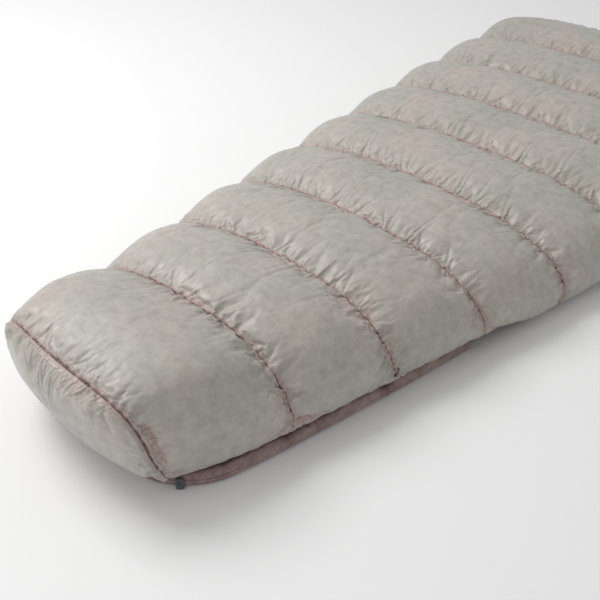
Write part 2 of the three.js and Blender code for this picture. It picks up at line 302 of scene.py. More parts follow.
def volumeOf(points, quads):
    a, b, c, d = (points[quads[:, k]] for k in range(4))
    return float((np.cross(a, b) * c).sum() + (np.cross(a, c) * d).sum()) / 6


def makePiece(name, points, quads, materials, kinds=None, tint=None, cloth=None):
    # a smooth mesh with its faces pointing out; tint and cloth are the values its materials read
    points = np.asarray(points, float).reshape(-1, 3)
    if volumeOf(points, quads) < 0:
        quads = quads[:, ::-1]
    mesh = bpy.data.meshes.new(name)
    mesh.vertices.add(len(points))
    mesh.vertices.foreach_set("co", points.astype(np.float32).ravel())
    mesh.loops.add(quads.size)
    mesh.loops.foreach_set("vertex_index", quads.astype(np.int32).ravel())
    mesh.polygons.add(len(quads))
    mesh.polygons.foreach_set("loop_start", np.arange(0, quads.size, 4, dtype=np.int32))
    mesh.polygons.foreach_set("use_smooth", np.ones(len(quads), bool))
    for material in materials:
        mesh.materials.append(material)
    if kinds is not None:
        mesh.polygons.foreach_set("material_index", kinds.astype(np.int32))
    tint = np.zeros(len(points)) if tint is None else np.clip(tint, 0, 1)
    cloth = points if cloth is None else cloth
    tints = mesh.attributes.new("seamTint", "FLOAT", "POINT").data
    tints.foreach_set("value", tint.astype(np.float32).ravel())
    places = mesh.attributes.new("clothPlace", "FLOAT_VECTOR", "POINT").data
    places.foreach_set("vector", np.asarray(cloth, np.float32).ravel())
    mesh.update(calc_edges=True)
    mesh.validate()
    piece = bpy.data.objects.new(name, mesh)
    bpy.context.scene.collection.objects.link(piece)
    return piece


def normalsOf(grid):
    # unit normals of a grid of points, from its two running differences
    normal = np.cross(np.gradient(grid, axis=1), np.gradient(grid, axis=0))
    return normal / np.maximum(np.linalg.norm(normal, axis=-1, keepdims=True), 1e-12)


def refined(grid):
    # twice as fine each way; a new point is 9/16 of its two neighbours' sum less 1/16 of the next two's
    for axis in (0, 1):
        g = np.moveaxis(grid, axis, 0)
        padded = np.concatenate([2 * g[:1] - g[1:2], g, 2 * g[-1:] - g[-2:-1]])
        middle = (9 * (padded[1:-2] + padded[2:-1]) - padded[:-3] - padded[3:]) / 16
        out = np.empty((2 * len(g) - 1, *g.shape[1:]))
        out[0::2], out[1::2] = g, middle
        grid = np.moveaxis(out, 0, axis)
    return grid


def calmed(field, times):
    # each point's mean with its neighbours, again and again; the border stays where it is
    field = field.copy()
    for _ in range(times):
        field[1:-1] = (field[:-2] + 2 * field[1:-1] + field[2:]) / 4
        for _ in range(3):
            field[:, 1:-1] = (field[:, :-2] + 2 * field[:, 1:-1] + field[:, 2:]) / 4
    return field


blow = {
    "frames": 14,
    "quality": 5,
    "mass": 0.02,
    "stiffness": 15.0,
    "shear": 5.0,
    "bending": 0.15,
    "pressure": 5.5,
    "spare": 0.070,            # how much larger the cloth is cut than the space it is sewn into
    "calm": 0.85,              # share of the broad swelling that is taken back, so the folds remain
    "calmTimes": 12,
    "cap": 0.012,              # how far a point may move
}


def inflated(grid, keep):
    # a sheet of spare cloth, sewn down round all four sides and blown up from below by cloth simulation
    rows, columns = grid.shape[:2]
    mesh = bpy.data.meshes.new("blown")
    mesh.from_pydata(grid.reshape(-1, 3).tolist(), [], gridQuads(rows, columns).tolist())
    sheet = bpy.data.objects.new("blown", mesh)
    bpy.context.scene.collection.objects.link(sheet)
    index = np.arange(rows * columns).reshape(rows, columns)
    sewn = np.unique(np.concatenate([index[0], index[-1], index[:, 0], index[:, -1]]))
    sheet.vertex_groups.new(name="sewn").add(sewn.tolist(), 1.0, "REPLACE")
    cloth = sheet.modifiers.new("cloth", "CLOTH")
    settings = cloth.settings
    settings.quality, settings.mass = blow["quality"], blow["mass"]
    settings.tension_stiffness = settings.compression_stiffness = blow["stiffness"]
    settings.shear_stiffness, settings.bending_stiffness = blow["shear"], blow["bending"]
    settings.vertex_group_mass = "sewn"
    settings.use_pressure, settings.uniform_pressure_force = True, blow["pressure"]
    settings.shrink_min = -blow["spare"]
    settings.effector_weights.gravity = 0
    cloth.collision_settings.use_collision = False
    cloth.point_cache.frame_end = blow["frames"]
    for step in range(1, blow["frames"] + 1):
        bpy.context.scene.frame_set(step)
    shown = sheet.evaluated_get(bpy.context.evaluated_depsgraph_get())
    places = np.empty(rows * columns * 3, np.float32)
    shown.data.vertices.foreach_get("co", places)
    bpy.data.objects.remove(sheet)
    bpy.data.meshes.remove(mesh)
    bpy.context.scene.frame_set(1)
    move = places.reshape(grid.shape).astype(float) - grid
    move = (move - blow["calm"] * calmed(move, blow["calmTimes"])) * keep[..., None]
    size = np.linalg.norm(move, axis=-1, keepdims=True)
    return grid + move * np.tanh(size / blow["cap"]) * blow["cap"] / np.maximum(size, 1e-9)


def newMaterial(name):
    material = bpy.data.materials.new(name)
    material.use_nodes = True
    tree = material.node_tree
    return material, tree, tree.nodes["Principled BSDF"]


def node(tree, kind, **values):
    made = tree.nodes.new(kind)
    for key, value in values.items():
        if key in made.inputs:
            made.inputs[key].default_value = value
        else:
            setattr(made, key, value)
    return made


def srgb(red, green, blue):
    # display colour from 0 to 255 to linear light
    def one(v):
        v /= 255
        return v / 12.92 if v <= 0.04045 else ((v + 0.055) / 1.055) ** 2.4
    return (one(red), one(green), one(blue), 1)


def grey(v):
    return (v, v, v, 1)


def ramp(tree, source, stops):
    made = tree.nodes.new("ShaderNodeValToRGB")
    made.color_ramp.elements[0].position, made.color_ramp.elements[0].color = stops[0]
    made.color_ramp.elements[1].position, made.color_ramp.elements[1].color = stops[-1]
    for place, colour in stops[1:-1]:
        made.color_ramp.elements.new(place).color = colour
    tree.links.new(source, made.inputs["Fac"])
    return made.outputs["Color"]


def mixColour(tree, factor, a, b, mode="MIX"):
    made = tree.nodes.new("ShaderNodeMix")
    made.data_type, made.blend_type = "RGBA", mode
    for socket, value in ((made.inputs[0], factor), (made.inputs[6], a), (made.inputs[7], b)):
        if isinstance(value, bpy.types.NodeSocket):
            tree.links.new(value, socket)
        else:
            socket.default_value = value
    return made.outputs[2]


def product(tree, a, b):
    made = node(tree, "ShaderNodeMath", operation="MULTIPLY")
    tree.links.new(a, made.inputs[0])
    tree.links.new(b, made.inputs[1])
    return made.outputs[0]


def noise(tree, where, scale, detail=3.0, rough=0.55, stretch=None):
    made = node(tree, "ShaderNodeTexNoise", Scale=scale, Detail=detail, Roughness=rough)
    if stretch:
        turn = node(tree, "ShaderNodeMapping", Scale=stretch)
        tree.links.new(where, turn.inputs["Vector"])
        where = turn.outputs["Vector"]
    tree.links.new(where, made.inputs["Vector"])
    return made.outputs["Fac"]


def bumpOf(tree, shader, layers):
    # several heights laid over one another, each (height, distance, strength)
    last = None
    for height, distance, strength in layers:
        made = node(tree, "ShaderNodeBump", Distance=distance, Strength=strength)
        tree.links.new(height, made.inputs["Height"])
        if last is not None:
            tree.links.new(last, made.inputs["Normal"])
        last = made.outputs["Normal"]
    tree.links.new(last, shader.inputs["Normal"])


def clothPlace(tree):
    return node(tree, "ShaderNodeAttribute", attribute_name="clothPlace").outputs["Vector"]


def tintFactor(tree):
    return node(tree, "ShaderNodeAttribute", attribute_name="seamTint").outputs["Fac"]


shellLook = {
    "pale": srgb(191, 186, 178),
    "mid": srgb(176, 172, 164),
    "deep": srgb(155, 151, 143),
    "green": srgb(160, 161, 150),
    "rose": srgb(190, 174, 165),
    "seam": srgb(138, 110, 103),
    "seamPale": srgb(184, 154, 146),
    "roughness": (0.35, 0.54),
    "sheen": 0.20,
}


def shellFabric():
    # thin calendered nylon with the down clusters showing through it
    look = shellLook
    material, tree, shader = newMaterial("shellFabric")
    where = clothPlace(tree)
    clusters = noise(tree, where, 52.0, 5.0, 0.58)
    fibres = noise(tree, where, 150.0, 4.0, 0.6, (1.0, 0.5, 1.0))
    broad = noise(tree, where, 7.5, 3.0, 0.5)
    tone = ramp(tree, clusters, [(0.30, look["deep"]), (0.47, look["mid"]), (0.66, look["pale"])])
    cast = ramp(tree, broad, [(0.32, look["green"]), (0.50, look["mid"]), (0.68, look["rose"])])
    tone = mixColour(tree, 0.5, tone, cast)
    streak = ramp(tree, fibres, [(0.30, grey(0.80)), (0.62, grey(1))])
    tone = mixColour(tree, 0.6, tone, streak, "MULTIPLY")
    fleck = noise(tree, where, 130.0, 2.0)
    uneven = product(tree, tintFactor(tree), ramp(tree, fleck, [(0.25, grey(0.45)), (0.62, grey(1))]))
    thread = ramp(tree, noise(tree, where, 260.0, 2.0), [(0.35, look["seam"]), (0.65, look["seamPale"])])
    tone = mixColour(tree, uneven, tone, thread)
    tree.links.new(tone, shader.inputs["Base Color"])
    low, high = look["roughness"]
    gloss = ramp(tree, clusters, [(0.3, grey(high)), (0.7, grey(low))])
    tree.links.new(gloss, shader.inputs["Roughness"])
    shader.inputs["Sheen Weight"].default_value = look["sheen"]
    shader.inputs["Sheen Roughness"].default_value = 0.45
    shader.inputs["Specular IOR Level"].default_value = 0.5
    weave = noise(tree, where, 1400.0, 1.0)
    bumpOf(tree, shader, [(clusters, 0.0016, 0.5), (fibres, 0.0006, 0.35), (weave, 0.0001, 0.3)])
    return material


liningLook = {
    "pale": srgb(168, 144, 139),
    "mid": srgb(146, 122, 118),
    "deep": srgb(112, 90, 87),
    "seam": srgb(100, 70, 66),
    "roughness": (0.42, 0.60),
}


def liningFabric():
    # the pink-brown inner cloth, softer and duller than the shell
    look = liningLook
    material, tree, shader = newMaterial("liningFabric")
    where = clothPlace(tree)
    clusters = noise(tree, where, 75.0, 5.0, 0.65)
    broad = noise(tree, where, 12.0, 3.0, 0.55)
    tone = ramp(tree, clusters, [(0.34, look["deep"]), (0.50, look["mid"]), (0.64, look["pale"])])
    tone = mixColour(tree, 0.4, tone, ramp(tree, broad, [(0.36, look["deep"]), (0.64, look["pale"])]))
    tone = mixColour(tree, tintFactor(tree), tone, look["seam"])
    tree.links.new(tone, shader.inputs["Base Color"])
    low, high = look["roughness"]
    gloss = ramp(tree, clusters, [(0.3, grey(high)), (0.7, grey(low))])
    tree.links.new(gloss, shader.inputs["Roughness"])
    shader.inputs["Sheen Weight"].default_value = 0.2
    weave = noise(tree, where, 1200.0, 1.0)
    bumpOf(tree, shader, [(clusters, 0.0014, 0.6), (weave, 0.0001, 0.3)])
    return material


def wovenTape(name, pale, mid, deep, ribs):
    # flat woven tape: uneven dye, and `ribs` fine ridges to the metre, with painted shade darkening the
    # grooves between them
    material, tree, shader = newMaterial(name)
    where = clothPlace(tree)
    mottle = noise(tree, where, 160.0, 3.0)
    tone = ramp(tree, mottle, [(0.3, deep), (0.5, mid), (0.7, pale)])
    rib = node(tree, "ShaderNodeTexWave", Scale=ribs, Distortion=1.2, Detail=1.0)
    tree.links.new(where, rib.inputs["Vector"])
    # the rib wave's low parts, the grooves, are multiplied darker: painted shade
    shade = ramp(tree, rib.outputs["Fac"], [(0.1, grey(0.72)), (0.7, grey(1))])
    tone = mixColour(tree, 0.5, tone, shade, "MULTIPLY")
    tree.links.new(tone, shader.inputs["Base Color"])
    shader.inputs["Roughness"].default_value = 0.62
    shader.inputs["Sheen Weight"].default_value = 0.15
    bumpOf(tree, shader, [(rib.outputs["Fac"], 0.0003, 0.5), (mottle, 0.0006, 0.4)])
    return material


def hemFabric():
    # shell cloth folded flat over the hem, a shade browner, with a line of stitches
    pale, mid, deep = srgb(176, 168, 160), srgb(160, 151, 144), srgb(138, 127, 121)
    material, tree, shader = newMaterial("hemFabric")
    where = clothPlace(tree)
    mottle = noise(tree, where, 70.0, 4.0)
    tone = ramp(tree, mottle, [(0.3, deep), (0.5, mid), (0.7, pale)])
    tone = mixColour(tree, tintFactor(tree), tone, srgb(140, 100, 94))
    tree.links.new(tone, shader.inputs["Base Color"])
    shader.inputs["Roughness"].default_value = 0.55
    shader.inputs["Sheen Weight"].default_value = 0.2
    bumpOf(tree, shader, [(mottle, 0.0008, 0.5), (noise(tree, where, 1200.0, 1.0), 0.0001, 0.3)])
    return material


def satinPlastic():
    # dark moulded plastic with a faint grain
    material, tree, shader = newMaterial("satinPlastic")
    place = node(tree, "ShaderNodeTexCoord").outputs["Object"]
    grain = noise(tree, place, 600.0, 2.0)
    tone = ramp(tree, grain, [(0.3, srgb(58, 58, 61)), (0.7, srgb(74, 74, 77))])
    gloss = ramp(tree, grain, [(0.3, grey(0.34)), (0.7, grey(0.46))])
    tree.links.new(tone, shader.inputs["Base Color"])
    tree.links.new(gloss, shader.inputs["Roughness"])
    bumpOf(tree, shader, [(grain, 0.0001, 0.3)])
    return material


shellCloth = shellFabric()
liningCloth = liningFabric()
hemCloth = hemFabric()
# the pink tape's colours are darker than its own pink-brown: painted shade standing in for the pleats'
# shadow in the seam valleys; the seam ropes and the seam-end loop use it
pinkTapeWithPaintedShade = wovenTape("pinkTapeWithPaintedShade", srgb(164, 134, 128), srgb(136, 107, 101), srgb(100, 76, 72), 260.0)
ribbedTape = wovenTape("ribbedTape", srgb(98, 101, 112), srgb(76, 79, 90), srgb(58, 61, 71), 190.0)
plastic = satinPlastic()
print("materials made")

chamber = {
    "rows": 34,                # of the simulated sheet; the finished one is twice as fine
    "cell": 0.0037,            # its spacing over the arch
    "seamOut": 0.0040,         # half thickness at a seam
    "hemOut": 0.0018,          # and at a hem
    "loft": 0.0275,            # how far the shell crowns over a seam
    "liningLoft": 0.0055,
    "sideShare": 0.32,         # share of the loft on upright sides, and where it rests on the floor
    "floorShare": 0.12,
    "hemFlat": 0.011,          # width of the flat hem
    "hemReach": 0.050,         # the filling runs out over this distance towards it
    "slit": 0.0002,
    "floorGap": 0.0009,
    "lump": 0.0022,            # unevenness of the down under the cloth
    "foldStart": 0.6,          # share of the folds the cloth starts from
    "sideGather": 1.35,        # strength of the gathers on upright sides, on top, and at the toe seam
    "topGather": 0.8,
    "toeGather": 0.65,
    "tintReach": 0.0038,
    "blushReach": 0.020,
    "hemLine": 0.0125,         # the stitched line above the hem
}


def shareRows(rows):
    # from 0 to 1, closer together at both ends
    r = np.linspace(0, 1, rows)
    return r - 0.55 * np.sin(2 * np.pi * r) / (2 * np.pi)


def crownOf(share):
    # a full, pillow-like rise between two seams: part of an ellipse, part of a sine
    share = np.clip(share, 0, 1)
    return 0.45 * 2 * np.sqrt(share * (1 - share)) + 0.55 * np.sin(np.pi * share)


def fullness(fromHem):
    # nought over the flat hem, then a quarter ellipse up to 1
    inside = (fromHem - chamber["hemFlat"]) / chamber["hemReach"]
    return np.sqrt(1 - (1 - np.clip(inside, 0, 1)) ** 2)


def loftOf(across, along, share, full):
    # outward thickness: seam + loft * crown, less on sides and floor, drawn in at the hems
    c = chamber
    facing = archTangent(across, along)[0]
    below = mix(c["floorShare"], c["sideShare"], ease(facing, -0.8, -0.1))
    free = mix(below, 1, ease(facing, 0.65, 1))
    outer = mix(c["hemOut"], c["seamOut"] + c["loft"] * free * crownOf(share), full)
    inner = mix(c["hemOut"], c["seamOut"] + c["liningLoft"] * crownOf(share), full)
    return outer, inner, free


def chamberSheets(k):
    # the outer and inner sheet of chamber k as grids of points, and what its materials read
    c = chamber
    ends = evenAcross(2, seams[k])[1]
    columns = int((ends[1] - ends[0]) / c["cell"])
    evenA, placeA = evenAcross(columns, seams[k - 1])
    evenB, placeB = evenAcross(columns, seams[k])
    share = shareRows(c["rows"])[:, None] + 0 * evenA[None]
    across = mix(evenA[None], evenB[None], share)
    placeA, placeB = placeA[None] + 0 * across, placeB[None] + 0 * across
    along = mix(seams[k - 1] + c["slit"], seams[k] - c["slit"], share)
    place = mix(placeA, placeB, share)
    fromA, fromB = along - seams[k - 1], seams[k] - along
    fromHem = np.minimum(place - place[:, :1], place[:, -1:] - place)
    full = fullness(fromHem)
    outer, inner, free = loftOf(across, along, share, full)
    swell = patches(place / 0.085, along / 0.075, 40) + 0.5 * patches(place / 0.034, along / 0.034, 41)
    firm = (0.4 + 0.6 * free) * full
    slack = mix(c["sideGather"], c["topGather"], free) * full
    first = c["toeGather"] if k == 1 else 1
    soft = first * folds(placeA, fromA, 100 * k) + folds(placeB, fromB, 100 * k + 50)
    sharp = first * creases(placeA, fromA, 900 + k) + creases(placeB, fromB, 920 + k)
    fine = first * pleats(placeA, fromA, 10 * k) + pleats(placeB, fromB, 10 * (k + 1))
    start = c["foldStart"]
    outer += (start * soft + sharp + 0.6 * fine) * slack + c["lump"] * swell * crownOf(share) * firm
    inner += 0.4 * (soft + fine) * full
    wander = zigzag(placeA, 10 * k) * np.exp(-fromA / 0.012)
    wander += zigzag(placeB, 10 * (k + 1)) * np.exp(-fromB / 0.012)
    top = layerPoint(across, along, outer)
    bottom = layerPoint(across, along, -inner)
    top[..., 1] += wander * firm
    bottom[..., 1] += wander * firm
    keep = mix(1, 0.3, ease(np.minimum(fromA, fromB), 0.016, 0.05))
    top = refined(inflated(top, keep))
    bottom = refined(bottom)
    values = np.stack([placeA, placeB, fromA, fromB, slack, place, along, fromHem], -1)
    placeA, placeB, fromA, fromB, slack, place, along, fromHem = np.moveaxis(refined(values), -1, 0)
    fine = first * pleats(placeA, fromA, 10 * k) + pleats(placeB, fromB, 10 * (k + 1))
    top += normalsOf(top) * (0.55 * fine * slack)[..., None]
    top[..., 2] = np.maximum(top[..., 2], c["floorGap"])
    bottom[..., 2] = np.maximum(bottom[..., 2], c["floorGap"] + 0.001)
    near = np.maximum(np.minimum(fromA, fromB), 0)
    tint = 0.8 * np.exp(-(near / c["tintReach"]) ** 1.3) + 0.22 * np.exp(-near / c["blushReach"])
    tint *= 0.75 + 0.5 * slack
    tint = np.maximum(tint, 0.6 * np.exp(-((fromHem - c["hemLine"]) / 0.0016) ** 2))
    cloth = np.stack([place, along, 0 * place], -1)
    return top, bottom, tint, cloth, fromA, fromHem


sectionOf = {1: "foot", 2: "foot", 3: "foot", 4: "foot", 5: "hip", 6: "hip",
             7: "chest", 8: "chest", 9: "head"}


def followBodies(piece, k):
    # the foot box's chambers keep to the foot; each later one stays where it is made, its transform baked
    # into the mesh
    if k <= form["footBoxChambers"]:
        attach(piece, "foot_section")
        return
    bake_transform(piece)


sheets = {}                    # each chamber's outer sheet, for the trims that lie on it


def makeChamber(k):
    top, bottom, tint, cloth, fromA, fromHem = chamberSheets(k)
    sheets[k] = (top, fromA, fromHem)
    upper, lower, walls = slabQuads(*top.shape[:2])
    points = np.concatenate([top.reshape(-1, 3), bottom.reshape(-1, 3)])
    quads = np.concatenate([upper, lower, walls])
    kinds = np.repeat([0, 1, 1], [len(upper), len(lower), len(walls)])
    tints = np.concatenate([tint.ravel(), tint.ravel() * 0.8])
    below = cloth + np.array([0, 0, 0.5])
    places = np.concatenate([cloth.reshape(-1, 3), below.reshape(-1, 3)])
    piece = makePiece(f"chamber_{k}", points, quads, [shellCloth, liningCloth], kinds, tints, places)
    followBodies(piece, k)
    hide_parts(f"down_fill_{k}", f"outer_shell_{sectionOf[k]}", f"inner_lining_{sectionOf[k]}")
    if k < form["chambers"]:
        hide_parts(f"baffle_wall_{k}")


for k in range(1, form["chambers"] + 1):
    makeChamber(k)
    print("chamber", k, "made")


def tube(name, path, radius, material, closed=False, sides=8):
    # rings of the given radius across each point of a path, drawn in at its ends
    way = np.gradient(path, axis=0)
    way /= np.linalg.norm(way, axis=1, keepdims=True)
    side = np.cross(way, [0.0, 1.0, 0.0])
    short = np.linalg.norm(side, axis=1, keepdims=True)
    side = np.where(short > 0.05, side / np.maximum(short, 1e-9), np.array([0.0, 0.0, 1.0]))
    other = np.cross(way, side)
    turn = np.linspace(0, 2 * np.pi, sides, endpoint=False)
    ring = np.cos(turn)[None, :, None] * side[:, None] + np.sin(turn)[None, :, None] * other[:, None]
    radius = np.broadcast_to(radius, len(path)).copy()
    if not closed:
        radius[[0, -1]] *= 0.3
    points = path[:, None] + ring * radius[:, None, None]
    run = np.concatenate([[0], np.cumsum(np.linalg.norm(np.diff(path, axis=0), axis=1))])
    run = run[:, None] + 0 * turn
    cloth = np.stack([run, 0.001 * turn + 0 * run, 0.2 + 0 * run], -1).reshape(-1, 3)
    return makePiece(name, points, tubeQuads(len(path), sides, closed), [material], cloth=cloth)


rope = {
    "radius": 0.0008,
    "swell": 0.0006,
    "sink": 0.0012,            # how deep it lies between the two crowns
}


def makeSeamRope(k):
    # the gathered seam allowance, which shows as a thin uneven rope along seam k; its tape's colours are
    # darkened as painted shade of the seam valley
    even, place = evenAcross(900, seams[k])
    even, place = even[16:-16], place[16:-16]
    firm = fullness(np.minimum(place - place[0], place[-1] - place) + 0.015)
    seed = 10 * (k + 1)
    lift = chamber["seamOut"] * firm + 0.8 * pleats(place, 0 * place, seed) * firm - rope["sink"]
    path = layerPoint(even, np.full_like(even, seams[k]), lift)
    path[:, 1] += zigzag(place, seed) * firm
    uneven = 0.5 * np.sin(2 * np.pi * pleatPhase(place, seed)) + 0.6 * drift(place, 0.007, k)
    name = f"stitched_seam_{k}" if k else "toe_seam"
    piece = tube(name, path, rope["radius"] + rope["swell"] * uneven, pinkTapeWithPaintedShade)
    followBodies(piece, max(k, 1))


for k in range(0, form["chambers"]):
    makeSeamRope(k)
print("seams made")


hem = {
    "width": 0.0125,
    "thick": 0.0012,
    "gap": -0.0014,
    "ring": 20,
    "step": 0.0035,
    "stitch": 0.0024,          # the stitched line's distance from the chambers
}


def makeHem(first, last, side, name, nodes):
    # a flat folded strip along the edge of the cloth: a rounded flat section, softly waved
    h = hem
    span = seams[last] - seams[first - 1]
    along = np.linspace(seams[first - 1] + 0.0004, seams[last] - 0.0004, int(span / h["step"]))
    edge = layerPoint(np.full_like(along, side), along, 0 * along)
    tx, tz = archTangent(np.full_like(along, side), along)
    wave = 0.0011 * drift(along, 0.035, 300 + side) + 0.0007 * drift(along, 0.011, 310 + side)
    out = np.stack([side * tx, 0 * tx, side * tz], -1)
    normal = np.stack([-tz, 0 * tx, tx], -1)
    turn = np.linspace(0, 2 * np.pi, h["ring"], endpoint=False)
    far = h["gap"] + h["width"] * (0.5 - 0.5 * np.sign(np.cos(turn)) * np.abs(np.cos(turn)) ** 0.7)
    high = h["thick"] * np.sign(np.sin(turn)) * np.abs(np.sin(turn)) ** 0.5
    pinch = 0.7 + 0.3 * np.abs(np.sin(np.pi * along / 0.012 + drift(along, 0.04, 5))) ** 0.5
    lift = high[None] * pinch[:, None] + wave[:, None]
    points = edge[:, None] + out[:, None] * far[None, :, None] + normal[:, None] * lift[..., None]
    points[..., 2] = np.maximum(points[..., 2], 0.0004 + 0.0001 * np.cos(turn)[None])
    stitch = np.exp(-((far - h["stitch"]) / 0.0007) ** 2)[None] + 0 * lift
    cloth = np.stack([far[None] + 0 * lift, along[:, None] + 0 * lift, 0.3 + 0 * lift], -1)
    piece = makePiece(f"edge_hem_{name}", points, tubeQuads(len(along), h["ring"]), [hemCloth],
                      tint=stitch.ravel(), cloth=cloth.reshape(-1, 3))
    followBodies(piece, last)
    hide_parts(*nodes)


hemRuns = ((1, 3, ("foot",)), (4, 5, ("foot", "hip")), (6, 7, ("hip", "chest")), (8, 9, ("chest", "head")))
for word, side in (("left", -1), ("right", 1)):
    for first, last, sections in hemRuns:
        nodes = [f"edge_binding_{word}_{section}" for section in sections]
        makeHem(first, last, side, f"{word}_{first}", nodes)
print("hems made")


def clothAt(k, fromSeam, fromHem, side):
    # points and normals of chamber k's outer sheet at distances from its foot-side seam and from a hem
    top, fromA, hemAway = sheets[k]
    normal = normalsOf(top)
    r = np.interp(fromSeam, fromA[:, 0], np.arange(len(fromA)))
    cell = hemAway[0, 1]
    c = fromHem / cell
    c = top.shape[1] - 1 - c if side > 0 else c
    r0 = np.clip(np.floor(r).astype(int), 0, top.shape[0] - 2)
    c0 = np.clip(np.floor(c).astype(int), 0, top.shape[1] - 2)
    u, v = (r - r0)[..., None], (c - c0)[..., None]
    points, normals = (
        mix(mix(g[r0, c0], g[r0, c0 + 1], v), mix(g[r0 + 1, c0], g[r0 + 1, c0 + 1], v), u)
        for g in (top, normal)
    )
    return points, normals


def makeStrip(name, k, fromSeam, fromHem, side, blush, thick=0.0009):
    # a thin flap of cloth lying on a chamber, its edges rounded down to it; blush is its pink tint
    points, normals = clothAt(k, fromSeam, fromHem, side)
    rows, columns = points.shape[:2]
    r, c = np.linspace(-1, 1, rows)[:, None], np.linspace(-1, 1, columns)[None]
    rise = np.sqrt(np.clip(1 - c ** 4, 0, 1) * np.clip(1 - r ** 8, 0, 1))
    upper = points + normals * ((thick + 0.0003) * rise - 0.0002)[..., None]
    lower = points - normals * 0.0012
    quads = np.concatenate(slabQuads(rows, columns))
    cloth = np.stack([fromHem, fromSeam, 0 * fromSeam + 0.4], -1).reshape(-1, 3)
    points = np.concatenate([upper.reshape(-1, 3), lower.reshape(-1, 3)])
    tint = np.concatenate([(blush * rise).ravel()] * 2)
    piece = makePiece(name, points, quads, [shellCloth], tint=tint, cloth=np.concatenate([cloth] * 2))
    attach(piece, "foot_section")


trims = {
    "strip": (0.0020, 0.0180, 0.034, 0.125),      # from seam, to; from hem, to
    "wedge": (0.002, 0.070, 0.014, 0.030),
    "cornerFold": (0.004, 0.040, 0.014, 0.024),
    "loop": 0.0075,
}


def makeTrims():
    # the flat flap beside the toe seam, and the small folds at the corner and at the first cross seam
    low, high, foot, top = trims["strip"]
    for word, side in (("left", -1), ("right", 1)):
        hemAway, seamAway = np.meshgrid(np.linspace(foot, top, 90), np.linspace(low, high, 24))
        fade = np.clip(np.sin(np.pi * (hemAway - foot) / (top - foot)), 0, 1) ** 0.4
        blush = 0.3 + 1.7 * (seamAway / high) ** 2 * fade
        makeStrip(f"toe_strip_{word}", 1, seamAway, hemAway, side, blush)
    for name, k, key in (("corner_fold", 1, "cornerFold"), ("seam_wedge", 2, "wedge")):
        low, high, foot, top = trims[key]
        t, s = np.meshgrid(np.linspace(0, 1, 24), np.linspace(0, 1, 70))
        blush = 0.5 + 1.5 * t * (1 - s)
        makeStrip(name, k, mix(low, high, s), foot + (top - foot) * t * (1 - s) ** 0.6, 1, blush)


def makeLoop():
    # a gathered end of the second cross seam: a small wavy spiral lying on the cloth by the hem
    start, normal = (v[0, 0] for v in clothAt(3, np.full((1, 1), 0.004), np.full((1, 1), 0.022), 1))
    aside = np.cross(normal, (0.0, 1.0, 0.0))
    aside /= np.linalg.norm(aside)
    ahead = np.cross(aside, normal)
    turn = np.linspace(0, 3.4 * np.pi, 120)
    reach = trims["loop"] * (1 - 0.16 * turn / np.pi) * (1 + 0.10 * np.sin(7 * turn))
    sideways, forward = (reach * np.cos(turn))[:, None] * aside, (reach * np.sin(turn))[:, None] * ahead
    path = start + normal * 0.0014 + sideways + forward
    piece = tube("seam_end_loop", path, 0.0013 + 0.0004 * np.sin(9 * turn), pinkTapeWithPaintedShade)
    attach(piece, "foot_section")


makeTrims()
makeLoop()
print("trims made")


endPanel = {
    "bulge": 0.031,
    "rim": 0.009,
    "loft": 0.030,
    "foot": 0.0272,
    "cells": 84,
    "fullness": 0.85,
    "pleats": 0.3,             # shares of a cross seam's gathers
    "folds": 0.3,
    "creases": 0.7,
}


def endOutline(turn):
    # the toe seam's arch closed by a straight foot, as distances from its middle; the two are joined
    # by a soft least value, the -14th root of their -14th powers' sum
    across = evenAcross(1500, 0.0)[0]
    across = across[across >= 0]
    x, _, z = np.moveaxis(layerPoint(across, np.zeros_like(across), chamber["seamOut"]), -1, 0)
    middle = float(archAt(np.array(0.0))["height"] + endPanel["foot"]) / 2
    angle, reach = np.arctan2(x, z - middle), np.hypot(x, z - middle)
    order = np.argsort(angle)
    arch = np.interp(np.abs(turn), angle[order], reach[order])
    down = np.minimum(np.cos(turn), -1e-6)
    floor = np.where(np.cos(turn) < -1e-6, (endPanel["foot"] - middle) / down, 9.0)
    return (arch ** -14 + floor ** -14) ** (-1 / 14), middle


